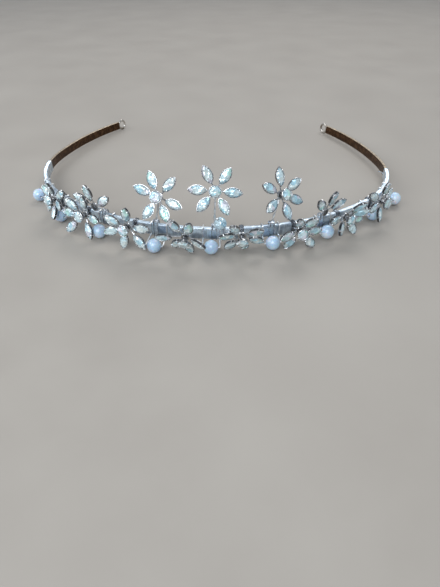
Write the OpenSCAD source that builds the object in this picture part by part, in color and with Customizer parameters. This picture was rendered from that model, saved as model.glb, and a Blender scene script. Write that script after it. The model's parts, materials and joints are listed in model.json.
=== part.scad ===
// Bridal tiara: a flat metal band bound in fine wire, with a garland of crystal
// flowers and pearls along its front, and three tall flowers and two short sprays on wire stalks.
//
// Origin: on the resting surface, in the middle of the head opening.
// +Z is up, -Y is the front, +X is to the right as seen from the front. Millimetres.

/* [Band] */
// Radius of the front arc, to the middle of the strip
front_radius = 82; // [81:0.5:83]
// Half of the angle that the front arc spans
front_half_angle = 44; // [43.5:0.5:44.5]
// Radius of the tighter arc at each side
side_radius = 46; // [45:0.5:47]
// Angle that each side arc spans
side_angle = 55; // [54:0.5:56]
// Radius of each rear arm
arm_radius = 105; // [100:1:110]
// Angle that each rear arm spans
arm_angle = 25; // [23:0.5:26]
// Thickness of the bare strip
strip_thickness = 1.0; // [0.8:0.05:1.0]
// Height of the bare strip
strip_height = 3.6; // [3.2:0.1:3.6]
// Height of the strip's middle above the surface, at the front
front_rise = 5.0; // [4.9:0.05:5.1]

/* [End rings] */
// Outer radius of the ring at each tip
ring_radius = 2.45; // [2.3:0.05:2.6]
// Radius of the hole in each ring
ring_hole_radius = 1.5; // [1.3:0.05:1.6]
// Thickness of each ring
ring_thickness = 1.0; // [0.8:0.05:1.2]

/* [Wire wrap] */
// Distance along the band from its middle to each end of the wrap
wrap_reach = 96; // [90:1:100]
// Thickness of the layer of wire
wrap_thickness = 0.35; // [0.3:0.05:0.4]
// Thickness of the extra turns that tie each ornament on
binding_thickness = 0.5; // [0.5:0.05:0.6]
// Width of the turns that tie a flower or a stalk on
binding_width = 1.8; // [1.4:0.1:2]

/* [Flowers] */
// Length of one petal cup
petal_length = 6.3; // [5.8:0.1:6.4]
// Width of one petal cup
petal_width = 3.3; // [3:0.1:3.4]
// Depth of one petal cup
petal_depth = 1.1; // [1:0.05:1.2]
// Wall thickness of the cups
cup_wall = 0.2; // [0.15:0.05:0.25]
// Distance from a flower's middle to the near end of its petals
petal_start = 2.4; // [2.4:0.1:2.8]
// Outer radius of the round cup in the middle
round_cup_radius = 2.0; // [1.8:0.05:2.1]
// Gap round each stone in its cup
stone_gap = 0.05; // [0.03:0.01:0.08]

/* [Pearls] */
// Radius of each pearl
pearl_radius = 2.4; // [2.2:0.05:2.4]
// Radius of the small crystal bead in the middle
bead_radius = 2.1; // [1.9:0.05:2.2]
// Radius of the hole through a pearl or the bead
bead_hole_radius = 0.32; // [0.3:0.01:0.34]
// Radius of the wire that a pearl or the bead turns on
bead_wire_radius = 0.25; // [0.22:0.01:0.27]
// Height of the pearls above the surface
pearl_clearance = 0.15; // [0.1:0.05:0.3]

/* [Stalks] */
// Radius of the stalk wire
stalk_radius = 0.4; // [0.35:0.05:0.5]
// Radius of the rounded foot that each stalk bends at
foot_radius = 0.5; // [0.45:0.05:0.5]
// Running gap between the foot and its seat
foot_gap = 0.06; // [0.04:0.01:0.08]

/* [Hidden] */
SMALL_FN = 28;
ROUND_FN = 48;
PETAL_FN = 96;
SWEEP_FN = 180;

// Garland flowers, from left to right as seen from the front. Each row holds where the flower is
// tied on, as a distance along the band, then the place of its middle: the distance along the band,
// the stand-off in front of it and the height above its middle. Then come the turn about the
// vertical, the lean back, the directions of the petals, how far each is bent forward, and how much
// further out than usual it stands.
GARLAND = [
    [
        -59.3, -56.7, 4.9, 2.9, 7, 15,
        [-6, 33, 74, 160, 223, 314], [22, 8, 34, -10, -18, 31], [0, 0, 0, 0, 0, 0]
    ],
    [
        -43.4, -39.9, 6.1, 3.1, 0, 11,
        [3, 71, 150, 187, 226, 302], [15, 21, 7, -3, 7, 10], [0.6, 0.2, 0.2, 1.5, 1.8, 0]
    ],
    [
        -24.0, -23.2, 7.2, 3.5, -2, 2,
        [8, 79, 164, 201, 254, 319], [3, 16, 0, 4, -1, 6], [0.1, 0, 0, 0.6, 0, 0.6]
    ],
    [
        -6.0, -5.1, 8.5, 3.3, -5, -27,
        [8, 71, 114, 186, 231, 276], [29, -2, -3, 2, -3, 2], [0, 0, 0.9, 1.9, 0, 0]
    ],
    [
        11.8, 11.2, 6.8, 2.9, -3, -25,
        [-30, 42, 117, 154, 235, 280], [-6, 12, 10, 19, -4, -8], [0, 0, 0.2, 0.3, 0.7, 0]
    ],
    [
        29.5, 28.9, 6.8, 2.6, -6, 0,
        [-12, 59, 110, 184, 240, 309], [-17, 31, 34, 25, -18, -8], [0, 0, 0, 0, 0, 0.7]
    ],
    [
        47.0, 46.4, 5.1, 2.7, 4, -1,
        [20, 60, 167, 206, 303, 341], [30, 34, 13, 34, 12, 5], [0, 0.4, 1.8, 0, 0, 0]
    ],
    [
        64.0, 63.8, 5.1, 3.2, -5, 4,
        [-34, 11, 107, 150, 187, 224], [-10, -17, 21, 2, 8, 29], [0, 0, 0.9, 1.0, 0.1, 0]
    ],
];

// Standing flowers: three tall ones, then two short sprays of three petals without a round stone.
// The rows hold the same values, but the first is where the stalk's foot stands.
TALL_COUNT = 3;
NO_EXTRA = [0, 0, 0, 0, 0, 0];
STANDING = [
    [-16.6, -14.6, 0.9, 12.2, 0, 25, [-18, 50, 115, 162, 240, 298], [0, 5, 0, 5, 5, 5], NO_EXTRA],
    [2.9, 3.3, -0.2, 14.9, 0, 20, [-5, 55, 116, 177, 228, 300], [0, 5, 5, 0, 5, 5], NO_EXTRA],
    [21.9, 24.0, 0.9, 13.0, 20, 25, [-30, 22, 85, 146, 206, 274], [0, 5, 0, 5, 5, 5], NO_EXTRA],
    [-36.4, -37.8, 3.0, 5.3, -2, 3, [36, 99, 156], [-3, 14, 9], [0, 0, 0]],
    [40.4, 39.9, 2.4, 4.8, 15, -6, [23, 89, 132], [10, 14, 1], [0, 0.6, 0]],
];
STANDING_NAMES = ["tall_left", "tall_middle", "tall_right", "short_left", "short_right"];

// Pearls: distance along the band and stand-off in front of it.
PEARLS = [
    [-72.7, 4.6], [-54.2, 5.4], [-35.8, 5.2], [-15.5, 6.4], [2.0, 4.8],
    [21.5, 4.1], [41.0, 3.8], [62.6, 3.9], [77.4, 5.0],
];

// The bead: distance along the band, stand-off and height above the middle of the strip.
BEAD = [4.9, 2.3, 4.8];
// Where the bead's pin is tied to the band
BEAD_PIN_STATION = 6.1;

// Lengths of the three kinds of arc, and the stations where they meet
front_half_length = front_radius * front_half_angle * PI / 180;
side_end = front_half_length + side_radius * side_angle * PI / 180;
band_end = side_end + arm_radius * arm_angle * PI / 180;
side_heading = front_half_angle + side_angle;

// Centres of the arcs, with the middle of the band's front at [0, 0]
front_centre = [0, front_radius];
side_centre = front_centre + (front_radius - side_radius) * [sin(front_half_angle), -cos(front_half_angle)];
arm_centre = side_centre + (side_radius - arm_radius) * [sin(side_heading), -cos(side_heading)];

// The side arcs are a hair thinner than their neighbours, and their ends are tucked into them
arc_tuck = 0.01;
arc_overlap = 0.3;

// Each arc: first station, last station, radius, centre, heading at its first station, and whether
// its ends are tucked in
ARCS = [
    [-band_end, -side_end, arm_radius, flip(arm_centre), -side_heading - arm_angle, 0],
    [-side_end, -front_half_length, side_radius, flip(side_centre), -side_heading, 1],
    [-front_half_length, front_half_length, front_radius, front_centre, -front_half_angle, 0],
    [front_half_length, side_end, side_radius, side_centre, front_half_angle, 1],
    [side_end, band_end, arm_radius, arm_centre, side_heading, 0],
];

// The rings sit just past the band's ends, with their rims let into it, and the whole tiara rests
// on them and on its petals. Each ring's edge dips a little as it leans back, so it is lifted a hair.
ring_lift = 0.02;
ring_bite = 0.35;
ring_station = band_end + ring_radius - ring_bite;
ring_y = band_point(band_end)[1] + (ring_station - band_end) * sin(heading(band_end));
rest_tilt = asin((front_rise - ring_radius - ring_lift) / ring_y);
head_middle = ring_y / 2;

wrapped_thickness = strip_thickness + 2 * wrap_thickness;
wrapped_height = strip_height + 2 * wrap_thickness;
bound_thickness = wrapped_thickness + 2 * binding_thickness;
bound_height = wrapped_height + 2 * binding_thickness;

// The stalks turn in grooves in the top of their bindings
foot_proud = 0.15;
foot_height = bound_height / 2 + foot_proud;
foot_length = 1.6;

// Round elbows in wires are slightly fatter than the wire
elbow_growth = 1.2;

// The middle of a flower: a flat disc with a short post that carries the round cup
hub_radius = 1.5;
hub_depth = 0.8;
stem_radius = 0.22;
stem_bend_at = 1.2;
stem_grip = 0.9;
stone_rise = 0.9;
stone_seat = 0.3;
round_cup_floor = 1.9;
round_cup_depth = 1.2;
round_seat = 0.4;
round_stone_rise = 0.4;
post_radius = 0.7;
post_bite = 0.1;
neck_radius = 0.45;
neck_foot = 0.6;
neck_clear = 3;

// The wrap's loose end
tail_radius = 0.2;
tail_bend = 5;
tail_angle = 45;
tail_droop = 25;
tail_start = 1;

// The pearl wires: legs a little outside the pearl, and one turn of wire at each leg's end
leg_gap = 0.5;
leg_drop = -1.2;
turn_width = 0.7;
pin_overrun = 0.5;

// ---- Places along the band ----

function flip(p) = [-p[0], p[1]];

// The arc that a station lies on
function arc_index(s) =
    s < ARCS[0][1] ? 0 : s < ARCS[1][1] ? 1 : s <= ARCS[2][1] ? 2 : s <= ARCS[3][1] ? 3 : 4;

// Direction of the band at a station, in degrees from +X
function heading(s) =
    let (arc = ARCS[arc_index(s)])
    arc[4] + (s - arc[0]) / arc[2] * 180 / PI;

// The middle of the strip at a station
function band_point(s) =
    let (arc = ARCS[arc_index(s)], h = heading(s))
    arc[3] + arc[2] * [sin(h), -cos(h)];

// A point given by its station, its distance outward from the strip and its height
function at(s, out, height) =
    let (p = band_point(s), h = heading(s))
    [p[0] + out * sin(h), p[1] - out * cos(h), height];

// Height, above the middle of the strip, of a pearl that just clears the surface
function pearl_height(s, out) =
    (pearl_radius + pearl_clearance - front_rise + at(s, out, 0)[1] * sin(rest_tilt)) / cos(rest_tilt);

// Puts the tiara down: its tips lower than its front, and the head opening round the origin
module resting() {
    translate([0, -head_middle, front_rise])
        rotate([-rest_tilt, 0, 0])
            children();
}

// Moves to a station, with X along the band and -Y outward
module on_band(s, out, height) {
    translate(at(s, out, height))
        rotate([0, 0, heading(s)])
            children();
}

// Moves to the middle of the flower in a row, with Z along the way it faces
module flower_place(row) {
    on_band(row[1], row[2], row[3])
        rotate([0, 0, row[4]])
            rotate([90 - row[5], 0, 0])
                children();
}

// ---- Shapes that repeat ----

// A straight round wire between two points
module rod(start, end, radius) {
    d = end - start;
    translate(start)
        rotate([0, acos(d[2] / norm(d)), atan2(d[1], d[0])])
            cylinder(h = norm(d), r = radius, $fn = SMALL_FN);
}

// A bar of rectangular section that follows one stretch of the band
module bar(from, to, thickness, height) {
    for (arc = ARCS) {
        start = max(from, arc[0] - arc[5] * arc_overlap);
        end = min(to, arc[1] + arc[5] * arc_overlap);
        thinner = 2 * arc[5] * arc_tuck;
        if (start < end)
            translate([arc[3][0], arc[3][1], 0])
                rotate([0, 0, arc[4] + (start - arc[0]) / arc[2] * 180 / PI - 90])
                    rotate_extrude(angle = (end - start) / arc[2] * 180 / PI, $fn = SWEEP_FN)
                        translate([arc[2], 0])
                            square([thickness - thinner, height - thinner], center = true);
    }
}

// Turns of wire round the wrapped band at one station
module turns(s, width) {
    difference() {
        bar(s - width / 2, s + width / 2, bound_thickness, bound_height);
        bar(s - width, s + width, wrapped_thickness, wrapped_height);
    }
}

// A pointed oval block: where two equal round bars cross
module marquise(length, width, height) {
    bow = (length * length + width * width) / (4 * width);
    intersection() {
        translate([0, bow - width / 2, 0])
            cylinder(h = height, r = bow, $fn = PETAL_FN);
        translate([0, width / 2 - bow, 0])
            cylinder(h = height, r = bow, $fn = PETAL_FN);
    }
}

// Moves to the middle of a petal that points a given way, is bent forward and stands further out
module on_petal(direction, lift, extra) {
    rotate([0, 0, direction])
        translate([stem_bend_at, 0, 0])
            rotate([0, -lift, 0])
                translate([petal_start + extra - stem_bend_at + petal_length / 2, 0, 0])
                    children();
}

module petal_cup(extra) {
    translate([0, 0, stone_seat - petal_depth / 2])
        difference() {
            marquise(petal_length, petal_width, petal_depth);
            translate([0, 0, petal_depth / 2])
                marquise(petal_length - 3 * cup_wall, petal_width - 2 * cup_wall, petal_depth);
        }
    // the stem, which starts inside the hub and ends in the cup's floor
    near_end = -petal_length / 2;
    rod([near_end + stem_bend_at - petal_start - extra, 0, 0], [near_end + stem_grip, 0, 0], stem_radius);
}

module petal_stone() {
    translate([0, 0, stone_seat])
        marquise(
            petal_length - 3 * cup_wall - 2 * stone_gap,
            petal_width - 2 * cup_wall - 2 * stone_gap,
            stone_rise
        );
}

module hub_disc() {
    translate([0, 0, -hub_depth / 2])
        cylinder(h = hub_depth, r = hub_radius, $fn = ROUND_FN);
}

// One flower's metal without its round cup: hub, stems and petal cups
module flower_metal(directions, lifts, extras) {
    hub_disc();
    for (i = [0:len(directions) - 1])
        on_petal(directions[i], lifts[i], extras[i])
            petal_cup(extras[i]);
}

// The round cup on its post, which stands in the middle of a flower
module round_cup() {
    cylinder(h = round_cup_floor + post_bite, r = post_radius, $fn = SMALL_FN);
    translate([0, 0, round_cup_floor])
        difference() {
            cylinder(h = round_cup_depth, r = round_cup_radius, $fn = ROUND_FN);
            translate([0, 0, round_seat])
                cylinder(h = round_cup_depth, r = round_cup_radius - cup_wall, $fn = ROUND_FN);
        }
}

// One flower's pointed oval stones
module flower_stones(directions, lifts, extras) {
    for (i = [0:len(directions) - 1])
        on_petal(directions[i], lifts[i], extras[i])
            petal_stone();
}

module round_stone() {
    translate([0, 0, round_cup_floor + round_seat])
        cylinder(
            h = round_cup_depth - round_seat + round_stone_rise,
            r = round_cup_radius - cup_wall - stone_gap,
            $fn = ROUND_FN
        );
}

// ---- Band ----

module band() {
    color("saddlebrown")
        resting()
            difference() {
                bar(-band_end, band_end, strip_thickness, strip_height);
                for (side = [-1, 1])
                    ring_place(side)
                        cylinder(h = 4 * ring_thickness, r = ring_radius, center = true, $fn = ROUND_FN);
            }
}

// Moves to the middle of one end ring, with Z along the hole
module ring_place(side) {
    translate(at(side * band_end, 0, 0))
        rotate([0, 0, heading(side * band_end)])
            translate([side * (ring_station - band_end), 0, 0])
                rotate([90, 0, 0])
                    children();
}

module end_ring(side) {
    color("silver")
        resting()
            ring_place(side)
                difference() {
                    cylinder(h = ring_thickness, r = ring_radius, center = true, $fn = ROUND_FN);
                    cylinder(h = 2 * ring_thickness, r = ring_hole_radius, center = true, $fn = ROUND_FN);
                }
}

module wire_wrap() {
    color("lightsteelblue")
        resting()
            difference() {
                bar(-wrap_reach, wrap_reach, wrapped_thickness, wrapped_height);
                bar(-band_end, band_end, strip_thickness, strip_height);
            }
}

// The loose end of the wrapping wire, which curls away inside the band at the right
module wrap_tail() {
    color("silver")
        resting()
            on_band(wrap_reach - tail_start, -wrapped_thickness / 2 - tail_radius, 0)
                rotate([-tail_droop, 0, 0])
                    translate([0, tail_bend, 0])
                        rotate([0, 0, -90])
                            rotate_extrude(angle = tail_angle, $fn = SWEEP_FN)
                                translate([tail_bend, 0])
                                    circle(r = tail_radius, $fn = SMALL_FN);
}

// ---- Garland ----

module flower_bindings() {
    color("gray")
        resting()
            for (row = GARLAND)
                turns(row[0], binding_width);
}

module garland_setting(i) {
    row = GARLAND[i];
    color("gainsboro")
        resting() {
            flower_place(row) {
                flower_metal(row[6], row[7], row[8]);
                round_cup();
            }
            difference() {
                rod(at(row[1], row[2], row[3]), at(row[0], 0, neck_foot), neck_radius);
                bar(row[0] - neck_clear, row[0] + neck_clear, bound_thickness, bound_height);
            }
        }
}

module garland_stones(i) {
    row = GARLAND[i];
    color("aliceblue")
        resting()
            flower_place(row) {
                flower_stones(row[6], row[7], row[8]);
                round_stone();
            }
}

module pearl_wires() {
    color("silver")
        resting()
            for (row = PEARLS) {
                s = row[0];
                out = row[1];
                height = pearl_height(s, out);
                reach = pearl_radius + leg_gap;
                middle = at(s, out, height);
                along = reach * [cos(heading(s)), sin(heading(s)), 0];
                tie = bound_thickness / 2 - binding_thickness / 2;
                for (side = [-1, 1]) {
                    turns(s + side * reach, turn_width);
                    rod(at(s + side * reach, tie, leg_drop), middle + side * along, bead_wire_radius);
                    translate(middle + side * along)
                        sphere(r = elbow_growth * bead_wire_radius, $fn = SMALL_FN);
                }
                rod(middle - along, middle + along, bead_wire_radius);
            }
}

module pearl(i) {
    s = PEARLS[i][0];
    out = PEARLS[i][1];
    color("lavender")
        resting()
            on_band(s, out, pearl_height(s, out))
                rotate([0, 90, 0])
                    pierced_ball(pearl_radius);
}

// A ball with a hole along Z
module pierced_ball(radius) {
    difference() {
        sphere(r = radius, $fn = ROUND_FN);
        cylinder(h = 3 * radius, r = bead_hole_radius, center = true, $fn = SMALL_FN);
    }
}

// ---- Centre bead ----

bead_middle = at(BEAD[0], BEAD[1], BEAD[2]);
bead_tie = at(BEAD_PIN_STATION, wrapped_thickness / 2 + binding_thickness / 2, wrapped_height / 2);
bead_way = (bead_middle - bead_tie) / norm(bead_middle - bead_tie);

module centre_bead_pin() {
    tip = bead_middle + (bead_radius + pin_overrun) * bead_way;
    color("silver")
        resting() {
            turns(BEAD_PIN_STATION, turn_width);
            rod(bead_tie, tip, bead_wire_radius);
            translate(tip)
                sphere(r = 2 * bead_wire_radius, $fn = SMALL_FN);
        }
}

module centre_bead() {
    color("azure")
        resting()
            translate(bead_middle)
                rotate([0, acos(bead_way[2]), atan2(bead_way[1], bead_way[0])])
                    pierced_ball(bead_radius);
}

// ---- Standing flowers ----

// The round bar that a stalk bends about, grown by a gap
module stalk_foot(i, gap) {
    on_band(STANDING[i][0], 0, foot_height)
        rotate([0, 90, 0])
            cylinder(h = foot_length + 4 * gap, r = foot_radius + gap, center = true, $fn = SMALL_FN);
}

module stalk_bindings() {
    color("gray")
        resting()
            difference() {
                for (row = STANDING)
                    turns(row[0], binding_width);
                for (i = [0:len(STANDING) - 1])
                    stalk_foot(i, foot_gap);
            }
}

module stalk(i) {
    row = STANDING[i];
    color("silver")
        resting() {
            stalk_foot(i, 0);
            difference() {
                rod(at(row[0], 0, foot_height), at(row[1], row[2], row[3]), stalk_radius);
                flower_place(row)
                    hub_disc();
            }
        }
}

module standing_setting(i) {
    row = STANDING[i];
    color("gainsboro")
        resting()
            flower_place(row) {
                flower_metal(row[6], row[7], row[8]);
                if (i < TALL_COUNT) round_cup();
            }
}

module standing_stones(i) {
    row = STANDING[i];
    color("aliceblue")
        resting()
            flower_place(row) {
                flower_stones(row[6], row[7], row[8]);
                if (i < TALL_COUNT) round_stone();
            }
}

band();
end_ring(-1);  // left_end_ring
end_ring(1);  // right_end_ring
wire_wrap();
wrap_tail();
flower_bindings();
for (i = [1:len(GARLAND)]) {
    garland_setting(i - 1);
    garland_stones(i - 1);
}
pearl_wires();
for (i = [1:len(PEARLS)])
    pearl(i - 1);
centre_bead_pin();
centre_bead();
stalk_bindings();
for (i = [0:len(STANDING) - 1]) {
    stalk(i);
    standing_setting(i);
    standing_stones(i);
}
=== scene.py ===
import json
import math

import bpy
import numpy as np
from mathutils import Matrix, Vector


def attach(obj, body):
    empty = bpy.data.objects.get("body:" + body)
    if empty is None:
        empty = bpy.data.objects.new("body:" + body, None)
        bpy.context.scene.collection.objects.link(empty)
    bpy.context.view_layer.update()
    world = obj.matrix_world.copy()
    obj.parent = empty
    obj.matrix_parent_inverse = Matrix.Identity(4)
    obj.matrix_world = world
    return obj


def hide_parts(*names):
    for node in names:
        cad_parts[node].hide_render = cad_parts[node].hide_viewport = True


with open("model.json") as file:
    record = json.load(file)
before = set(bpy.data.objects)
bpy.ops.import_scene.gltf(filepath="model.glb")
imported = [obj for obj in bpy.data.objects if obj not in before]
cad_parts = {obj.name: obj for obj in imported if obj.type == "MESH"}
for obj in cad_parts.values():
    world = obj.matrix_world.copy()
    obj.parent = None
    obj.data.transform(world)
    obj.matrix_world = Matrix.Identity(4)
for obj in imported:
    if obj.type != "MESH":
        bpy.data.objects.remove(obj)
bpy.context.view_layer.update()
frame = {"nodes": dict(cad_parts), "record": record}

camera = bpy.data.cameras.new("camera")
camera.lens = 27.05
camera.sensor_width = 36
camera.clip_start = 0.01
camera.clip_end = 20
eye = bpy.data.objects.new("camera", camera)
eye.location = (0.0114, -0.1780, 0.0834)
eye.rotation_euler = (math.radians(50), 0, math.radians(3.05))
bpy.context.scene.collection.objects.link(eye)
bpy.context.scene.camera = eye

# A bridal tiara. Shapes are worked out in millimetres in the CAD's frame and written in metres.
MM = 0.001
rng = np.random.default_rng(11)

# The band's centre-line: a front arc, two side arcs and two arms, each with its radius and angle
FRONT_RADIUS, FRONT_HALF_ANGLE = 82.0, math.radians(44)
SIDE_RADIUS, SIDE_ANGLE = 46.0, math.radians(55)
ARM_RADIUS, ARM_ANGLE = 105.0, math.radians(25)
FRONT_END = FRONT_RADIUS * FRONT_HALF_ANGLE
SIDE_END = FRONT_END + SIDE_RADIUS * SIDE_ANGLE
BAND_END = SIDE_END + ARM_RADIUS * ARM_ANGLE
FRONT_RISE = 5.0

# The strip's thickness and height, and the radius of its corners
STRIP = (1.0, 3.6)
STRIP_CORNER = 0.16
# The wrap's thickness, the station it reaches on both sides and the pitch of its turns
WRAP = 0.35
WRAP_REACH = 96.0
WRAP_PITCH = 0.365
WRAPPED = (STRIP[0] + 2 * WRAP, STRIP[1] + 2 * WRAP)
# The end rings' radii, how far each overlaps the strip's tip, and the clearance from the floor
RING_RADIUS, RING_HOLE = 2.45, 1.5
RING_OVERLAP = 0.35
FLOOR_CLEARANCE = 0.02
# The wrap's loose end: the radius it curls at, and its own
TAIL_BEND, TAIL_RADIUS = 5.0, 0.2

# A petal's cup and the heights in its own frame, in which Z is the way that the petal faces
PETAL = (3.15, 1.65)
PETAL_STONE = (2.8, 1.4)
CUP_FLOOR, CUP_RIM, STONE_SEAT, STONE_TOP = -0.25, 0.85, 0.3, 1.2
# The round stone's cup, in its flower's frame
ROUND_CUP = 2.0
ROUND_STONE = 1.75
ROUND_FLOOR, ROUND_RIM, ROUND_SEAT, ROUND_TOP = 1.9, 3.1, 2.3, 3.5
STEM_BEND = 1.2
# The rounded foot that a stalk bends at, and the running gap round it
FOOT_RADIUS, FOOT_GAP = 0.5, 0.06
# The stalk's wire rolled round that foot: its turns, half its length, and the radius it winds at
ROLL_TURNS, ROLL_HALF_LENGTH, ROLL_RADIUS = 3.6, 0.58, 0.29
STALK_WIRE = 0.2

PEARL = 2.4
BEAD = 2.1
BEAD_HOLE = 0.32
# The latitude, in degrees, at which the cut bead ends, how far its pin reaches past it, and the
# radius of the ball at the pin's tip
BEAD_END_LATITUDE = 66
PIN_REACH, PIN_BALL = 0.5, 0.46
PEARL_WIRE = 0.24
# How far a pearl wire's legs stand off from the pearl, the share of a leg that is straight, and how
# far an elbow is cut short, as a share of the span between the elbows
LEG_GAP = 0.5
LEG_STRAIGHT = 0.825
ELBOW_CUT = 0.0168


# ---- Places along the band ----


def heading(s):
    a = np.abs(s)
    h = (
        np.minimum(a, FRONT_END) / FRONT_RADIUS
        + np.clip(a - FRONT_END, 0, SIDE_END - FRONT_END) / SIDE_RADIUS
        + np.clip(a - SIDE_END, 0, None) / ARM_RADIUS
    )
    return np.sign(s) * h


def middle(s):
    """The middle of the strip, before the tiara is put down, as (x, y)."""
    a = np.abs(s)
    h1 = np.minimum(a, FRONT_END) / FRONT_RADIUS
    h2 = h1 + np.clip(a - FRONT_END, 0, SIDE_END - FRONT_END) / SIDE_RADIUS
    h3 = h2 + np.clip(a - SIDE_END, 0, None) / ARM_RADIUS
    x = FRONT_RADIUS * np.sin(h1)
    x = x + SIDE_RADIUS * (np.sin(h2) - np.sin(h1)) + ARM_RADIUS * (np.sin(h3) - np.sin(h2))
    y = FRONT_RADIUS * (1 - np.cos(h1))
    y = y - SIDE_RADIUS * (np.cos(h2) - np.cos(h1)) - ARM_RADIUS * (np.cos(h3) - np.cos(h2))
    return np.sign(s) * x, y


RING_STATION = BAND_END + RING_RADIUS - RING_OVERLAP
RING_Y = middle(BAND_END)[1] + (RING_STATION - BAND_END) * math.sin(heading(BAND_END))
TILT = math.asin((FRONT_RISE - RING_RADIUS - FLOOR_CLEARANCE) / RING_Y)
HEAD_MIDDLE = RING_Y / 2
TILTED = np.array([[1, 0, 0], [0, math.cos(TILT), math.sin(TILT)], [0, -math.sin(TILT), math.cos(TILT)]])


def place(s, out, height):
    """Points given by station, distance outward and height, as they lie when the tiara is put down."""
    s, out, height = np.broadcast_arrays(*(np.asarray(v, float) for v in (s, out, height)))
    x, y = middle(s)
    h = heading(s)
    p = np.stack([x + out * np.sin(h), y - out * np.cos(h), height], -1)
    return p @ TILTED.T + [0, -HEAD_MIDDLE, FRONT_RISE]


def along(s):
    """The band's direction at a station."""
    h = heading(np.asarray(s, float))
    return np.stack([np.cos(h), np.sin(h), np.zeros_like(h)], -1) @ TILTED.T


def outward(s):
    h = heading(np.asarray(s, float))
    return np.stack([np.sin(h), -np.cos(h), np.zeros_like(h)], -1) @ TILTED.T


UP = TILTED @ [0, 0, 1]
STATIONS = np.linspace(-BAND_END, BAND_END, 3001)
SPINE = place(STATIONS, 0, 0)


def station(point):
    return float(STATIONS[np.argmin(np.linalg.norm(SPINE - point, axis=1))])


# ---- Shapes, as (vertices, faces) ----


def unit(v):
    return v / np.linalg.norm(v, axis=-1, keepdims=True)


def ring_faces(rows, count, closed=False):
    """Quads between rows of count vertices each."""
    i, j = np.meshgrid(np.arange(rows if closed else rows - 1), np.arange(count), indexing="ij")
    a, b = i * count, ((i + 1) % rows) * count
    k = (j + 1) % count
    return np.stack([a + j, a + k, b + k, b + j], -1).reshape(-1, 4).tolist()


def skin(rings, closed=False):
    """A surface through closed outlines of equal count, with flat ends unless it closes on itself."""
    rings = np.asarray(rings, float)
    rows, count = rings.shape[:2]
    faces = ring_faces(rows, count, closed)
    if not closed:
        faces += [list(range(count))[::-1], list(range((rows - 1) * count, rows * count))]
    return rings.reshape(-1, 3), faces


# How far a wire's rounded end stands out and how thin it gets, as shares of the wire's radius
END_REACH, END_TAPER = 0.6, 0.55


def tube(path, radius, sides=8, hint=None):
    """A round wire along a path, with rounded ends. hint is a direction across it, for each point."""
    path = np.asarray(path, float)
    radius = np.broadcast_to(np.asarray(radius, float), len(path)).copy()
    t = unit(np.gradient(path, axis=0))
    start = path[0] - t[0] * radius[0] * END_REACH
    end = path[-1] + t[-1] * radius[-1] * END_REACH
    path = np.vstack([start, path, end])
    radius = np.concatenate([[radius[0] * END_TAPER], radius, [radius[-1] * END_TAPER]])
    t = np.vstack([t[0], t, t[-1]])
    if hint is None:
        e = np.empty_like(path)
        first = np.eye(3)[np.argmin(np.abs(t[0]))]
        e[0] = unit(first - t[0] * (first @ t[0]))
        for i in range(1, len(path)):
            v = e[i - 1] - t[i] * (e[i - 1] @ t[i])
            e[i] = v / np.linalg.norm(v)
    else:
        e = np.vstack([hint[0], hint, hint[-1]])
        e = unit(e - t * np.sum(e * t, axis=1, keepdims=True))
    f = np.cross(t, e)
    a = np.arange(sides) * 2 * math.pi / sides
    rings = path[:, None] + radius[:, None, None] * (
        np.cos(a)[None, :, None] * e[:, None] + np.sin(a)[None, :, None] * f[:, None]
    )
    return skin(rings)


def smooth_path(points, steps=6):
    """A soft curve through points."""
    p = np.asarray(points, float)
    p = np.vstack([2 * p[0] - p[1], p, 2 * p[-1] - p[-2]])
    out = []
    for i in range(1, len(p) - 2):
        for u in np.arange(steps) / steps:
            a, b, c, d = p[i - 1 : i + 3]
            squared, cubed = 2 * a - 5 * b + 4 * c - d, 3 * b - a - 3 * c + d
            out.append(0.5 * (2 * b + (c - a) * u + squared * u**2 + cubed * u**3))
    return np.array(out + [p[-2]])


def lathe(profile, count=36):
    """Turns (radius, height) points about Z."""
    a = np.arange(count) * 2 * math.pi / count
    return skin([[(r * math.cos(x), r * math.sin(x), z) for x in a] for r, z in profile])


def outline(half_length, half_width, height, count=40):
    """A pointed oval at a height, which is a circle where its halves are equal."""
    bow = (half_length**2 + half_width**2) / (2 * half_width)
    t = np.arange(count) * 2 * math.pi / count
    x = half_length * np.cos(t)
    y = np.sign(np.round(np.sin(t), 9)) * (np.sqrt(np.maximum(bow**2 - x**2, 0)) - (bow - half_width))
    return np.stack([x, y, np.full(count, height)], -1)


def cut_stone(half_length, half_width, floor, girdle, top):
    """A brilliant-cut stone: table, stars, kites and halves above the girdle, a pavilion below it.

    Returns the vertices, the faces and each face's kind, which sets how bright it is painted: painted light
    for the stone's sparkle.
    """
    def row(scale, z, odd=None):
        o = outline(half_length * scale, half_width * scale, z, 16)
        return o if odd is None else o[int(odd) :: 2]
    table = row(0.56, top, False)
    crown = row(0.80, girdle + (top - girdle) * 0.62, True)
    upper, lower = row(1.0, girdle + 0.05), row(1.0, girdle - 0.05)
    belly = row(0.62, girdle - (girdle - floor) * 0.6, True)
    keel = row(0.30, floor, False)
    v = np.vstack([table, crown, upper, lower, belly, keel])
    # Where each row starts among the vertices: table, crown, upper, lower, belly and keel
    T, C, U, L, B, K = 0, 8, 16, 32, 48, 56
    faces, kinds = [list(range(8))], [0]
    for k in range(8):
        n = (k + 1) % 8
        m = (k - 1) % 8
        e, o, g = 2 * k, 2 * k + 1, (2 * k + 2) % 16
        faces += [[T + k, C + k, T + n], [T + k, C + m, U + e, C + k]]
        faces += [[C + k, U + e, U + o], [C + k, U + o, U + g]]
        kinds += [1, 2, 3, 4]
        faces += [[K + k, K + n, B + k], [K + k, B + k, L + e, B + m]]
        faces += [[B + k, L + o, L + e], [B + k, L + g, L + o]]
        kinds += [5, 5, 5, 5]
        faces += [[U + e, L + e, L + o, U + o], [U + o, L + o, L + g, U + g]]
        kinds += [6, 6]
    faces.append([K + k for k in range(7, -1, -1)])
    kinds.append(5)
    return v, faces, kinds


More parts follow.
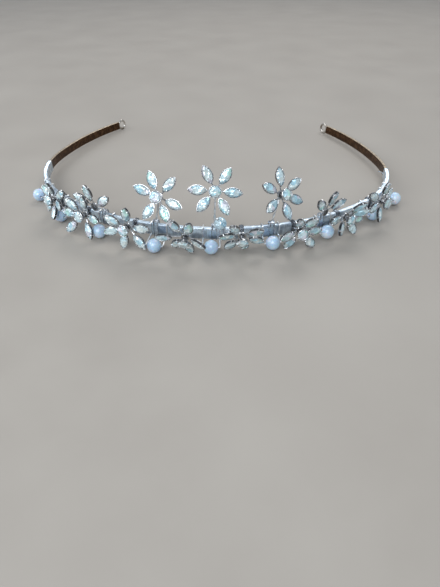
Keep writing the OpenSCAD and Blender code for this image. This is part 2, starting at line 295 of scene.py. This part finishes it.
def pierced(rows):
    """A turned bead with a hole along Z, from its outer profile."""
    a = np.arange(56) * 2 * math.pi / 56
    return skin([[(r * math.cos(x), r * math.sin(x), z) for x in a] for r, z in rows], closed=True)


def cross_section(half_thickness, half_height, corner):
    """A closed path round the strip, as (out, height) points, with rounded corners."""
    pts = []
    for sx, sy, start in ((1, 1, 0), (-1, 1, 90), (-1, -1, 180), (1, -1, 270)):
        cx, cy = sx * (half_thickness - corner), sy * (half_height - corner)
        for d in (0, 30, 60, 90):
            a = math.radians(start + d)
            pts.append((cx + corner * math.cos(a), cy + corner * math.sin(a)))
    return np.array(pts)


def coil(first, last, turns, section, radius, jitter=0.0, sides=6):
    """Wire wound round the band between two stations, along a closed section."""
    n = len(section)
    count = int(round(turns * n))
    i = np.arange(count + 1)
    s = first + (last - first) * i / count
    if jitter:
        wander = np.interp(i / n, np.arange(int(turns) + 3), rng.normal(0, jitter, int(turns) + 3))
        s = s + wander
    out, height = section[i % n, 0], section[i % n, 1]
    return tube(place(s, out, height), radius, sides, along(s))


# ---- Pieces ----


class Piece:
    """Collects shapes into one mesh."""

    def __init__(self):
        self.verts, self.faces, self.shade, self.tint, self.flat = [], [], [], [], []
        self.count = 0

    def add(self, shape, pose=None, shade=0.0, tints=None, flat=False):
        verts, faces = shape[:2]
        verts = np.asarray(verts, float)
        if pose is not None:
            verts = verts @ pose[0].T + pose[1]
        self.verts.append(verts)
        self.faces += [[self.count + k for k in f] for f in faces]
        self.shade.append(np.broadcast_to(shade, len(verts)))
        self.tint += tints if tints is not None else [(1, 1, 1)] * len(faces)
        self.flat += [flat] * len(faces)
        self.count += len(verts)
        return self

    def make(self, name, material, body, nodes, slot):
        mesh = bpy.data.meshes.new(name)
        mesh.from_pydata((np.vstack(self.verts) * MM).tolist(), [], self.faces)
        shades = np.concatenate(self.shade).astype(np.float32)
        mesh.attributes.new("shade", "FLOAT", "POINT").data.foreach_set("value", shades)
        sizes = [len(f) for f in self.faces]
        colours = np.repeat(np.c_[np.array(self.tint, float), np.ones(len(sizes))], sizes, axis=0)
        tints = mesh.attributes.new("tint", "FLOAT_COLOR", "CORNER")
        tints.data.foreach_set("color", colours.astype(np.float32).ravel())
        mesh.polygons.foreach_set("use_smooth", [not f for f in self.flat])
        if not all(self.flat):
            mesh.set_sharp_from_angle(angle=math.radians(38))
        mesh.materials.append(material)
        mesh.update()
        obj = bpy.data.objects.new(name, mesh)
        bpy.context.scene.collection.objects.link(obj)
        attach(obj, body)
        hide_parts(*nodes)
        return obj


# ---- Materials ----


class Nodes:
    """Short names for the node links that every material needs."""

    def __init__(self, name):
        self.material = bpy.data.materials.new(name)
        self.material.use_nodes = True
        self.tree = self.material.node_tree
        self.tree.nodes.clear()
        self.out = self.add("ShaderNodeOutputMaterial")
        self.shader = self.add("ShaderNodeBsdfPrincipled")
        self.link(self.shader.outputs[0], self.out.inputs["Surface"])
        self.where = self.add("ShaderNodeTexCoord").outputs["Object"]

    def add(self, kind, **values):
        node = self.tree.nodes.new(kind)
        for k, v in values.items():
            setattr(node, k, v)
        return node

    def link(self, a, b):
        self.tree.links.new(a, b)

    def set(self, **values):
        for k, v in values.items():
            self.shader.inputs[k.replace("_", " ")].default_value = v

    def noise(self, scale, detail=4.0, rough=0.5):
        n = self.add("ShaderNodeTexNoise")
        n.inputs["Scale"].default_value = scale
        n.inputs["Detail"].default_value = detail
        n.inputs["Roughness"].default_value = rough
        self.link(self.where, n.inputs["Vector"])
        return n.outputs["Fac"]

    def cells(self, scale):
        """Facet-like cells: their grey values, and heights that slope evenly from their middles."""
        n = self.add("ShaderNodeTexVoronoi", distance="MANHATTAN")
        n.inputs["Scale"].default_value = scale
        self.link(self.where, n.inputs["Vector"])
        return n.outputs["Color"], n.outputs["Distance"]

    def ramp(self, source, stops, steps=False):
        n = self.add("ShaderNodeValToRGB")
        if steps:
            n.color_ramp.interpolation = "CONSTANT"
        while len(n.color_ramp.elements) < len(stops):
            n.color_ramp.elements.new(0.5)
        for e, (at, colour) in zip(n.color_ramp.elements, stops):
            e.position = at
            e.color = (*colour, 1)
        self.link(source, n.inputs["Fac"])
        return n.outputs["Color"]

    def span(self, source, low, high):
        """A value between low and high, from the usual range of a noise."""
        n = self.add("ShaderNodeMapRange")
        for k, v in (("From Min", 0.3), ("From Max", 0.7), ("To Min", low), ("To Max", high)):
            n.inputs[k].default_value = v
        self.link(source, n.inputs["Value"])
        return n.outputs["Result"]

    def mix(self, a, b, factor, how="MIX"):
        n = self.add("ShaderNodeMix", data_type="RGBA", blend_type=how)
        for value, socket in ((factor, n.inputs[0]), (a, n.inputs[6]), (b, n.inputs[7])):
            if isinstance(value, (int, float)):
                socket.default_value = value
            elif isinstance(value, tuple):
                socket.default_value = (*value, 1)
            else:
                self.link(value, socket)
        return n.outputs[2]

    def attribute(self, name, output="Fac"):
        n = self.add("ShaderNodeAttribute", attribute_name=name)
        return n.outputs[output]

    def bump(self, source, strength, distance):
        n = self.add("ShaderNodeBump")
        n.inputs["Strength"].default_value = strength
        n.inputs["Distance"].default_value = distance * MM
        self.link(source, n.inputs["Height"])
        self.link(n.outputs["Normal"], self.shader.inputs["Normal"])

    def colour(self, socket):
        self.link(socket, self.shader.inputs["Base Color"])

    def roughness(self, socket):
        self.link(socket, self.shader.inputs["Roughness"])


def band_metal():
    m = Nodes("band_metal")
    m.set(Metallic=0.8)
    # Painted reflection: the mottled dark brown stands for a brown wooden desk mirrored in the polished band.
    painted_desk_reflection = m.ramp(m.noise(560, 7, 0.7), [
        (0.30, (0.022, 0.010, 0.004)), (0.50, (0.070, 0.032, 0.013)), (0.70, (0.165, 0.088, 0.042)),
    ])
    # The beige that the shade attribute mixes in is a painted highlight along the strip's edges.
    m.colour(m.mix(painted_desk_reflection, (0.72, 0.60, 0.45), m.attribute("shade")))
    m.roughness(m.span(m.noise(900, 5), 0.22, 0.48))
    m.bump(m.noise(1500, 5, 0.6), 0.35, 0.05)
    return m.material


def silver_wire(name, pale, dull, gloss=(0.16, 0.34)):
    m = Nodes(name)
    m.set(Metallic=1.0)
    tone = m.ramp(m.noise(420, 3, 0.5), [(0.32, dull), (0.56, pale)])
    m.colour(m.mix(tone, (0.03, 0.034, 0.042), m.attribute("shade")))
    m.roughness(m.span(m.noise(1400, 4), *gloss))
    m.bump(m.noise(5200, 3), 0.2, 0.015)
    return m.material


def silver_setting():
    m = Nodes("silver_setting")
    m.set(Metallic=1.0)
    tone = m.ramp(m.noise(900, 5, 0.6), [(0.30, (0.50, 0.52, 0.55)), (0.58, (0.93, 0.95, 0.97))])
    m.colour(m.mix(tone, (0.022, 0.024, 0.030), m.attribute("shade")))
    m.roughness(m.span(m.noise(1700, 4), 0.12, 0.32))
    m.bump(m.noise(3600, 4), 0.2, 0.03)
    return m.material


def crystal():
    """Foil-backed cut glass: a clear smooth coat over a mirror broken into small tilted facets."""
    m = Nodes("crystal")
    m.set(Metallic=0.28, Specular_IOR_Level=0.7, Coat_Weight=1.0, Coat_Roughness=0.015, Coat_IOR=1.6)
    grey, slopes = m.cells(520)
    hints = m.ramp(grey, [
        (0.0, (0.54, 0.82, 0.94)), (0.30, (0.80, 0.96, 1.0)), (0.48, (0.62, 0.95, 0.87)),
        (0.55, (0.90, 1.0, 1.0)), (0.72, (0.88, 0.86, 0.95)), (0.78, (0.70, 0.92, 1.0)),
    ], steps=True)
    depth = m.ramp(m.noise(1500, 2, 0.5), [(0.34, (0.74, 0.79, 0.84)), (0.50, (1.0, 1.0, 1.0))])
    # The facets' painted light and slight tone are multiplied in from the mesh attribute.
    m.colour(m.mix(m.mix(hints, depth, 1.0, "MULTIPLY"), m.attribute("tint", "Color"), 1.0, "MULTIPLY"))
    m.roughness(m.span(m.noise(2600, 3), 0.05, 0.15))
    m.bump(slopes, 0.9, 0.5)
    return m.material


def nacre():
    m = Nodes("nacre")
    m.set(IOR=1.55, Specular_IOR_Level=0.6, Coat_Weight=0.7, Coat_Roughness=0.12)
    m.set(Subsurface_Weight=0.2, Subsurface_Scale=0.001)
    m.colour(m.ramp(m.noise(230, 3, 0.5), [
        (0.30, (0.36, 0.53, 0.72)), (0.52, (0.48, 0.64, 0.80)), (0.72, (0.70, 0.70, 0.74)),
    ]))
    m.roughness(m.span(m.noise(1300, 4), 0.20, 0.34))
    m.bump(m.noise(1900, 5, 0.6), 0.10, 0.03)
    return m.material


BAND_METAL = band_metal()
WRAP_WIRE = silver_wire("wrap_wire", (0.80, 0.89, 0.96), (0.44, 0.53, 0.63), (0.26, 0.42))
TIE_WIRE = silver_wire("tie_wire", (0.60, 0.65, 0.72), (0.24, 0.26, 0.30))
BRIGHT_WIRE = silver_wire("bright_wire", (0.95, 0.97, 0.98), (0.76, 0.80, 0.84), (0.26, 0.40))
RING_WIRE = silver_wire("ring_wire", (0.58, 0.55, 0.51), (0.26, 0.22, 0.18), (0.18, 0.36))
SETTING = silver_setting()
CRYSTAL = crystal()
NACRE = nacre()


# ---- What the CAD nodes say ----


def islands(node):
    """The separate solids of a CAD node, as welded vertices in millimetres."""
    mesh = frame["nodes"][node].data
    v = np.empty(len(mesh.vertices) * 3)
    mesh.vertices.foreach_get("co", v)
    world = frame["nodes"][node].matrix_world
    v = v.reshape(-1, 3) @ np.array(world.to_3x3()).T + np.array(world.translation)
    v = v / MM
    _, first, same = np.unique(np.round(v, 3), axis=0, return_index=True, return_inverse=True)
    same = same.ravel()
    root = list(range(len(first)))

    def find(i):
        while root[i] != i:
            root[i] = root[root[i]]
            i = root[i]
        return i

    for p in mesh.polygons:
        ids = [find(same[k]) for k in p.vertices]
        for i in ids[1:]:
            root[find(i)] = find(ids[0])
    groups = {}
    for i, f in enumerate(first):
        groups.setdefault(find(i), []).append(v[f])
    return [np.array(g) for g in groups.values()]


def stone_frame(points):
    """(centre, long axis, way it faces up to its sign, length) of a flat block."""
    centre = points.mean(0)
    _, axes = np.linalg.eigh(np.cov((points - centre).T))
    spread = [np.ptp((points - centre) @ axes[:, k]) for k in range(3)]
    order = np.argsort(spread)
    n, u = axes[:, order[0]], axes[:, order[2]]
    for a in (n, u):
        q = (points - centre) @ a
        centre = centre + a * (q.max() + q.min()) / 2
    return centre, u, n, max(spread)


def petal_pose(block, hub, n):
    """A petal's pose from its stone. A pose is (rotation, origin)."""
    centre, u, m, _ = block
    m = m * np.sign(m @ n)
    u = u * np.sign(u @ (centre - hub))
    return np.stack([u, np.cross(m, u), m], 1), centre - m * (STONE_SEAT + STONE_TOP) / 2


def flower(node):
    """The pose of a flower with a round stone and its petals' poses, from its stones."""
    blocks = sorted((stone_frame(p) for p in islands(node)), key=lambda b: b[3])
    round_stone, petals = blocks[0], blocks[1:]
    front = round_stone[0] - np.mean([p[0] for p in petals], axis=0)
    n = round_stone[2] * np.sign(round_stone[2] @ front)
    hub = round_stone[0] - n * (ROUND_SEAT + ROUND_TOP) / 2
    poses = [petal_pose(b, hub, n) for b in petals]
    x = unit(poses[0][1] - hub - n * ((poses[0][1] - hub) @ n))
    return (np.stack([x, np.cross(n, x), n], 1), hub), poses


def spray(node, s, out, height, turn, lean):
    """The pose of a spray without a round stone, from its place on the band, and its petals' poses."""
    angle, back = math.radians(turn), math.radians(lean)
    x = along(s) * math.cos(angle) - outward(s) * math.sin(angle)
    face = outward(s) * math.cos(angle) + along(s) * math.sin(angle)
    n = face * math.cos(back) + UP * math.sin(back)
    hub = place(s, out, height)
    poses = [petal_pose(stone_frame(p), hub, n) for p in islands(node)]
    return (np.stack([x, np.cross(n, x), n], 1), hub), poses


joints = {j["name"]: j for j in frame["record"]["behaviour"]["joints"]}


# ---- The band, its rings and its wire ----


def strip():
    s = np.linspace(-BAND_END + 0.02, BAND_END - 0.02, 700)
    section = cross_section(STRIP[0] / 2, STRIP[1] / 2, STRIP_CORNER)
    rings = np.stack([place(s, o, h) for o, h in section], 1)
    shape = skin(rings)
    edge = np.array([1.0 if abs(h) > STRIP[1] / 2 - 0.12 else 0.0 for _, h in section])
    # Painted highlight: the strip's top and bottom edges turn beige, at random strength.
    edge_highlight = np.tile(edge, len(s)) * np.clip(rng.normal(0.75, 0.2, len(s) * len(edge)), 0, 1)
    Piece().add(shape, shade=edge_highlight).make("band_strip", BAND_METAL, "root", ["band"], "band_metal")


def end_ring(side, name):
    centre = place(side * BAND_END, 0, 0) + side * (RING_STATION - BAND_END) * along(side * BAND_END)
    a = np.linspace(0, 2 * math.pi, 61)[:-1]
    tube_radius = (RING_RADIUS - RING_HOLE) / 2
    big = (RING_RADIUS + RING_HOLE) / 2
    t, o = along(side * BAND_END), outward(side * BAND_END)
    rings = []
    for x in a:
        spoke = t * math.cos(x) + UP * math.sin(x)
        c = centre + spoke * big
        round_it = [spoke * math.cos(q) + o * math.sin(q) for q in np.arange(12) * math.pi / 6]
        rings.append([c + tube_radius * v for v in round_it])
    Piece().add(skin(rings, closed=True)).make(name + "_eyelet", RING_WIRE, "root", [name], "band_metal")


def wrap():
    section = cross_section(STRIP[0] / 2 + WRAP / 2, STRIP[1] / 2 + WRAP / 2, 0.3)
    reach = WRAP_REACH - WRAP / 2 - 0.05
    shape = coil(-reach, reach, 2 * reach / WRAP_PITCH, section, WRAP / 2 - 0.003, 0.012)
    Piece().add(shape).make("wire_wrap_coil", WRAP_WIRE, "root", ["wire_wrap"], "silver_wire")


def tail():
    a = np.radians(np.linspace(0, 44, 14))
    inward, droop = TAIL_BEND * (1 - np.cos(a)), math.radians(25)
    start = WRAP_REACH - 1
    path = place(start, -WRAPPED[0] / 2 - TAIL_RADIUS - inward * math.cos(droop), -inward * math.sin(droop))
    path = path + TAIL_BEND * np.sin(a)[:, None] * along(start)
    shape = tube(path, np.linspace(0.18, 0.15, len(path)))
    Piece().add(shape).make("wrap_tail_wire", WRAP_WIRE, "root", ["wrap_tail"], "silver_wire")


# ---- Bindings ----


def tie_section(radius, hump=None):
    """A closed path round the wrapped band for a tying wire.

    hump is the height of a stalk's foot that it passes over.
    """
    section = cross_section(WRAPPED[0] / 2 + radius, WRAPPED[1] / 2 + radius, 0.35)
    if hump is None:
        return section
    over = FOOT_RADIUS + FOOT_GAP + radius
    angles = np.radians([8, 35, 62, 90, 118, 145, 172])
    arch = [(over * math.cos(a), hump + over * math.sin(a)) for a in angles]
    below = [p for p in section if p[1] < 0]
    right = [(WRAPPED[0] / 2 + radius, 1.7)]
    left = [(-WRAPPED[0] / 2 - radius, 1.7)]
    return np.array(right + arch + left + [tuple(p) for p in below])


def flower_bindings():
    piece = Piece()
    for block in islands("flower_bindings"):
        s = station(block.mean(0))
        for first, last, turns, radius in ((-0.72, 0.66, 5.4, 0.13), (0.50, -0.46, 2.5, 0.19)):
            shape = coil(s + first, s + last, turns, tie_section(radius), radius, sides=8)
            piece.add(shape, shade=float(rng.uniform(0.35, 0.8)))
    piece.make("flower_binding_coils", TIE_WIRE, "root", ["flower_bindings"], "silver_wire")


def stalk_bindings(feet):
    piece = Piece()
    radius = 0.12
    for s, height in feet:
        section = tie_section(radius, height)
        for side in (-1, 1):
            shape = coil(s + side * 0.50, s + side * 0.90, 1.9, section, radius, sides=8)
            piece.add(shape, shade=float(rng.uniform(0.05, 0.3)))
    piece.make("stalk_binding_coils", TIE_WIRE, "root", ["stalk_bindings"], "silver_wire")


# ---- Flowers ----


def petal_cup(piece, pose):
    a, b = PETAL
    rows = [
        (0.80, 0.46, CUP_FLOOR), (0.50, 0.26, CUP_FLOOR + 0.09), (0.16, 0.08, CUP_FLOOR + 0.45),
        (0.02, 0.01, CUP_RIM - 0.16), (0.00, 0.00, CUP_RIM - 0.06), (0.06, 0.05, CUP_RIM),
        (0.20, 0.14, CUP_RIM + 0.01), (0.29, 0.19, CUP_RIM - 0.06), (0.31, 0.21, STONE_SEAT),
    ]
    shape = skin([outline(a - x, b - y, z) for x, y, z in rows])
    shade = np.repeat([0.15, 0.30, 0.90, 0.86, 0.45, 0.15, 0.1, 0.7, 0.95], 40)
    piece.add(shape, pose, shade)
    bow = (a * a + b * b) / (2 * b)
    for sx in (-1, 1):
        for sy in (-1, 1):
            x = sx * a * 0.60
            y = math.sqrt(bow * bow - x * x) - (bow - b)
            path = smooth_path([
                (x, sy * (y - 0.13), 0.1), (x, sy * (y - 0.11), CUP_RIM - 0.05),
                (x * 0.98, sy * (y - 0.22), CUP_RIM + 0.15), (x * 0.93, sy * (y - 0.50), CUP_RIM + 0.19),
            ], 4)
            piece.add(tube(path, np.linspace(0.11, 0.13, len(path)), 6), pose)


def round_cup(piece, pose):
    rows = [
        (0.70, ROUND_FLOOR - 0.05), (1.35, ROUND_FLOOR), (1.72, ROUND_FLOOR + 0.18),
        (1.90, ROUND_FLOOR + 0.6), (1.98, ROUND_RIM - 0.14), (ROUND_CUP, ROUND_RIM - 0.05),
        (1.95, ROUND_RIM), (1.86, ROUND_RIM), (1.80, ROUND_RIM - 0.06), (1.78, ROUND_SEAT),
    ]
    shade = np.repeat([0.3, 0.25, 0.6, 0.8, 0.6, 0.0, 0.0, 0.1, 0.7, 0.9], 36)
    piece.add(lathe(rows), pose, shade)
    for k in range(6):
        a = (k + 0.5) * math.pi / 3
        path = smooth_path([
            (r * math.cos(a), r * math.sin(a), z)
            for r, z in (
                (1.85, ROUND_FLOOR + 0.5), (1.88, ROUND_RIM),
                (1.76, ROUND_RIM + 0.17), (1.47, ROUND_RIM + 0.27),
            )
        ], 4)
        piece.add(tube(path, np.linspace(0.12, 0.14, len(path)), 6), pose)


def hub(piece, pose, has_round):
    """The disc that the stems meet at, with the round cup's post or a low dome on it."""
    rows = [(0.25, -0.4), (1.15, -0.4), (1.42, -0.26), (1.5, 0.0), (1.42, 0.26), (1.15, 0.36)]
    post = [(0.74, 0.39), (0.66, 0.7), (0.66, ROUND_FLOOR)]
    dome = [(0.8, 0.385), (0.4, 0.395), (0.1, 0.4)]
    rows += post if has_round else dome
    piece.add(lathe(rows), pose, np.repeat([0.1, 0.1, 0.25, 0.3, 0.35, 0.5, 0.7, 0.7, 0.7], 36))


def stem(piece, home, pose):
    """The wire from a flower's middle to the back of one petal's cup."""
    n = home[0][:, 2]
    way = pose[1] - home[1]
    way = unit(way - n * (way @ n))
    u = pose[0][:, 0]
    path = smooth_path([
        home[1] + way * 0.95, home[1] + way * STEM_BEND,
        pose[1] - u * (PETAL[0] + 0.25), pose[1] - u * (PETAL[0] - 0.9) + pose[0][:, 2] * 0.02,
    ], 5)
    piece.add(tube(path, np.linspace(0.24, 0.21, len(path)), 8), shade=0.25)


def stones(name, body, node, home, petals, has_round=True):
    piece = Piece()
    blocks = [(PETAL_STONE, (STONE_SEAT, CUP_RIM - 0.07, STONE_TOP), p) for p in petals]
    if has_round:
        blocks.append(((ROUND_STONE, ROUND_STONE), (ROUND_SEAT, ROUND_RIM - 0.06, ROUND_TOP), home))
    for (a, b), heights, pose in blocks:
        v, faces, kinds = cut_stone(a, b, *heights)
        tints = []
        for kind in kinds:
            # Painted light: each facet kind gets a set brightness, the table brightest and the pavilion and
            # girdle darkest, and each facet a random brightness and a slight random tone.
            base = {0: 1.0, 1: 0.96, 2: 0.84, 3: 0.62, 4: 0.94, 5: 0.5, 6: 0.5}[kind]
            level = base * rng.uniform(0.78, 1.04)
            tints.append((level * rng.uniform(0.92, 1.0), level, level * rng.uniform(0.98, 1.03)))
        piece.add((v, faces), pose, tints=tints, flat=True)
    piece.make(name, CRYSTAL, body, [node], "crystal")


def setting(name, body, node, home, petals, tie=None, has_round=True):
    piece = Piece()
    hub(piece, home, has_round)
    if has_round:
        round_cup(piece, home)
    for pose in petals:
        stem(piece, home, pose)
        petal_cup(piece, pose)
    if tie is not None:
        foot = place(tie, WRAPPED[0] / 2 + 0.35, 0.6)
        back = home[1] - home[0][:, 2] * 0.2
        twisted(piece, back, foot, radius=0.22, spread=0.22, turns=1.1, shade=0.25)
    piece.make(name, SETTING, body, [node], "silver_setting")


def twisted(piece, a, b, radius, spread, turns, shade=0.0):
    """Two wires twisted together from a to b."""
    t = unit(b - a)
    e = unit(np.cross(t, [0.3, 1.0, 0.2]))
    f = np.cross(t, e)
    u = np.linspace(0, 1, int(24 * max(turns, 1)))
    for phase in (0, math.pi):
        w = phase + u * turns * 2 * math.pi
        path = a + (b - a) * u[:, None] + spread * (np.cos(w)[:, None] * e + np.sin(w)[:, None] * f)
        piece.add(tube(path, radius, 8), shade=shade)


def stalk(name, body, node, home, joint, turns):
    foot = np.array(joint["pos_m"]) / MM
    axis = np.array(joint["axis"])
    piece = Piece()
    top = home[1] - home[0][:, 2] * 0.35
    way = unit(top - foot)
    twisted(piece, foot + way * 0.35, top, radius=STALK_WIRE, spread=0.19, turns=turns)
    e = unit(way - axis * (way @ axis))
    f = np.cross(axis, e)
    w = np.linspace(0, ROLL_TURNS * 2 * math.pi, 80)
    x = np.linspace(-ROLL_HALF_LENGTH, ROLL_HALF_LENGTH, 80)
    path = foot + x[:, None] * axis + ROLL_RADIUS * (np.cos(w)[:, None] * e + np.sin(w)[:, None] * f)
    piece.add(tube(path, STALK_WIRE, 8))
    piece.add(tube([foot - axis * 0.5, foot, foot + axis * 0.5], 0.16, 8))
    piece.make(name, BRIGHT_WIRE, body, [node], "silver_wire")


# ---- Pearls and the bead ----


def pose_along(axis, centre):
    n = unit(np.asarray(axis, float))
    x = unit(np.cross(n, [0.1, 0.2, 1.0]))
    return np.stack([x, np.cross(n, x), n], 1), centre


def pearl(number):
    joint = joints[f"pearl_{number}_turn"]
    centre = np.array(joint["pos_m"]) / MM
    edge = math.asin((BEAD_HOLE + 0.10) / PEARL)
    rows = [(PEARL * math.sin(a), -PEARL * math.cos(a)) for a in np.linspace(edge, math.pi - edge, 44)]
    inner = math.sqrt(PEARL**2 - BEAD_HOLE**2) - 0.10
    rows += [(BEAD_HOLE, inner), (BEAD_HOLE, -inner)]
    verts, faces = pierced(rows)
    r = np.linalg.norm(verts, axis=1)
    phase = rng.uniform(0, 6, 3)
    waves = np.prod([np.sin(verts[:, k] * pace + phase[k]) for k, pace in enumerate((1.3, 1.1, 1.6))], axis=0)
    verts = verts * (1 - 0.006 * (r > PEARL * 0.98) * (0.5 + 0.5 * waves))[:, None]
    piece = Piece().add((verts, faces), pose_along(joint["axis"], centre))
    piece.make(f"pearl_{number}_nacre", NACRE, f"pearl_{number}", [f"pearl_{number}"], "pearl")
    return centre, np.array(joint["axis"])


def pearl_wires(places):
    piece = Piece()
    radius = PEARL_WIRE
    for centre, axis in places:
        reach = PEARL + LEG_GAP
        ends = []
        for side in (-1, 1):
            elbow = centre + side * reach * axis
            s = station(elbow)
            tie = place(s, WRAPPED[0] / 2 + radius, -1.3)
            ends.append((elbow, tie))
            section = tie_section(radius)
            turn = coil(s - side * 0.02, s + side * 0.10, 1.3, section, radius - 0.01, sides=8)
            piece.add(turn, shade=0.12)
        (e0, t0), (e1, t1) = ends
        span = e1 - e0
        path = smooth_path([
            t0, t0 + (e0 - t0) * LEG_STRAIGHT, e0 + span * ELBOW_CUT, e0 + axis * LEG_GAP, centre,
            e1 - axis * LEG_GAP, e1 - span * ELBOW_CUT, t1 + (e1 - t1) * LEG_STRAIGHT, t1,
        ])
        piece.add(tube(path, radius, 8), shade=0.05)
    piece.make("pearl_wire_loops", BRIGHT_WIRE, "root", ["pearl_wires"], "silver_wire")


def bead():
    """A round crystal bead, cut in rows of triangles, on a pin with a small ball at its tip."""
    joint = joints["centre_bead_turn"]
    centre = np.array(joint["pos_m"]) / MM
    axis = np.array(joint["axis"])
    n = 12
    rows = []
    latitudes = [-BEAD_END_LATITUDE, -38, -13, 13, 38, BEAD_END_LATITUDE]
    for k, lat in enumerate(np.radians(latitudes)):
        a = (np.arange(n) + 0.5 * (k % 2)) * 2 * math.pi / n
        across = BEAD * math.cos(lat)
        rows.append(np.stack([across * np.cos(a), across * np.sin(a), np.full(n, BEAD * math.sin(lat))], -1))
    verts = np.vstack(rows)
    faces = []
    for k in range(len(rows) - 1):
        for j in range(n):
            a, b = k * n + j, k * n + (j + 1) % n
            c, d = (k + 1) * n + j, (k + 1) * n + (j + 1) % n
            faces += [[a, b, c], [b, d, c]] if k % 2 == 0 else [[a, d, c], [a, b, d]]
    z = BEAD * math.sin(math.radians(BEAD_END_LATITUDE))
    a = np.arange(n) * 2 * math.pi / n
    low = np.stack([BEAD_HOLE * np.cos(a), BEAD_HOLE * np.sin(a), np.full(n, -z)], -1)
    high = low * [1, 1, -1]
    lo, hi = len(verts), len(verts) + n
    verts = np.vstack([verts, low, high])
    for j in range(n):
        k = (j + 1) % n
        last = (len(rows) - 1) * n
        faces += [[lo + j, lo + k, k, j], [last + j, last + k, hi + k, hi + j]]
        faces += [[lo + k, lo + j, hi + j, hi + k]]
    # Painted sparkle: each facet is the bead's own pale blue at a random brightness.
    tints = [tuple(np.array([0.90, 0.96, 1.0]) * rng.uniform(0.62, 1.0)) for _ in faces]
    piece = Piece().add((verts, faces), pose_along(axis, centre), tints=tints, flat=True)
    piece.make("centre_bead_cut", CRYSTAL, "centre_bead", ["centre_bead"], "crystal")
    pin = Piece()
    s = station(islands_middle("centre_bead_pin", axis, centre))
    start = centre - axis * np.linalg.norm(centre - place(s, WRAPPED[0] / 2 + 0.25, WRAPPED[1] / 2))
    tip = centre + axis * (BEAD + PIN_REACH)
    pin.add(tube([start, centre, tip], PEARL_WIRE, 8))
    slopes = np.linspace(0.25, math.pi - 0.25, 9)
    ball = [(PIN_BALL * math.sin(a), -PIN_BALL * math.cos(a)) for a in slopes]
    pin.add(lathe(ball, 16), pose_along(axis, tip))
    pin.add(coil(s - 0.2, s + 0.2, 1.6, tie_section(PEARL_WIRE), PEARL_WIRE - 0.02, sides=8), shade=0.2)
    pin.make("centre_bead_headpin", BRIGHT_WIRE, "root", ["centre_bead_pin"], "silver_wire")


def islands_middle(node, axis, centre):
    """The middle of the part of a node that lies behind a bead: the turn that ties its pin on."""
    v = np.vstack(islands(node))
    far = np.linalg.norm(np.cross(v - centre, axis), axis=1)
    return v[far > 1.2].mean(0)


# ---- Putting it together ----

strip()
end_ring(-1, "left_end_ring")
end_ring(1, "right_end_ring")
wrap()
tail()
flower_bindings()

ties = sorted(station(b.mean(0)) for b in islands("flower_bindings"))
for i, tie in enumerate(ties, 1):
    home, petals = flower(f"garland_stones_{i}")
    setting(f"garland_flower_{i}_cups", "root", f"garland_setting_{i}", home, petals, tie)
    stones(f"garland_flower_{i}_crystals", "root", f"garland_stones_{i}", home, petals)

# The middle of each short spray: station, stand-off, height, turn and lean back, as in the CAD
SPRAYS = {"short_left": (-37.8, 3.0, 5.3, -2, 3), "short_right": (39.9, 2.4, 4.8, 15, -6)}
# How many times the two wires of each stalk go round each other
STALK_TWISTS = {
    "tall_left": 0.8, "tall_middle": 2.5, "tall_right": 2.0, "short_left": 1.2, "short_right": 1.2,
}
feet = []
for name, turns in STALK_TWISTS.items():
    node = name + "_stones"
    home, petals = spray(node, *SPRAYS[name]) if name in SPRAYS else flower(node)
    joint = joints[name + "_bend"]
    foot = np.array(joint["pos_m"]) / MM
    s = station(foot)
    feet.append((s, float((foot - place(s, 0, 0)) @ UP)))
    body = name + "_flower"
    stalk(name + "_stalk_wires", body, name + "_stalk", home, joint, turns)
    setting(name + "_cups", body, name + "_setting", home, petals, has_round=name not in SPRAYS)
    stones(name + "_crystals", body, node, home, petals, name not in SPRAYS)
stalk_bindings(feet)

pearl_wires([pearl(n) for n in range(1, 10)])
bead()


# ---- Floor and light ----


def floor():
    """A flat sheet 6 m square, as a grid of squares."""
    n = 24
    x = np.linspace(-3, 3, n)
    verts = [(a, b, 0.0) for b in x for a in x]
    corners = [r * n + c for r in range(n - 1) for c in range(n - 1)]
    faces = [[k, k + 1, k + n + 1, k + n] for k in corners]
    mesh = bpy.data.meshes.new("floor")
    mesh.from_pydata(verts, [], faces)
    m = Nodes("floor")
    m.colour(m.ramp(m.noise(30, 5), [(0.3, (0.335, 0.305, 0.27)), (0.7, (0.37, 0.34, 0.302))]))
    m.roughness(m.span(m.noise(60, 4), 0.50, 0.62))
    m.bump(m.noise(900, 4), 0.05, 0.05)
    mesh.materials.append(m.material)
    obj = bpy.data.objects.new("floor", mesh)
    bpy.context.scene.collection.objects.link(obj)


floor()


def lamp(name, width, height, energy, at, colour):
    light = bpy.data.lights.new(name, "AREA")
    light.shape = "RECTANGLE"
    light.size, light.size_y = width, height
    light.energy = energy
    light.color = colour
    obj = bpy.data.objects.new(name, light)
    obj.rotation_euler = (Vector((0, -0.03, 0.01)) - Vector(at)).to_track_quat("-Z", "Y").to_euler()
    obj.location = at
    bpy.context.scene.collection.objects.link(obj)


lamp("front_window", 0.50, 0.50, 4.0, (-0.14, -0.62, 0.50), (0.90, 0.95, 1.0))
lamp("left_window", 0.40, 0.40, 1.9, (-0.60, -0.12, 0.40), (0.94, 0.97, 1.0))
lamp("top_back", 0.40, 0.20, 1.3, (0.12, 0.42, 0.52), (1.0, 0.98, 0.95))

world = bpy.data.worlds.new("studio")
world.use_nodes = True
bpy.context.scene.world = world
tree = world.node_tree
sky = tree.nodes["Background"]
where = tree.nodes.new("ShaderNodeTexCoord")
split = tree.nodes.new("ShaderNodeSeparateXYZ")
shade = tree.nodes.new("ShaderNodeValToRGB")
tree.links.new(where.outputs["Generated"], split.inputs[0])
tree.links.new(split.outputs["Z"], shade.inputs["Fac"])
tree.links.new(shade.outputs["Color"], sky.inputs["Color"])
shade.color_ramp.elements[0].color = (0.48, 0.50, 0.52, 1)
shade.color_ramp.elements[0].position = 0.0
shade.color_ramp.elements[1].color = (0.62, 0.67, 0.74, 1)
shade.color_ramp.elements[1].position = 0.9
sky.inputs["Strength"].default_value = 0.80
bpy.context.scene.view_settings.view_transform = "Standard"
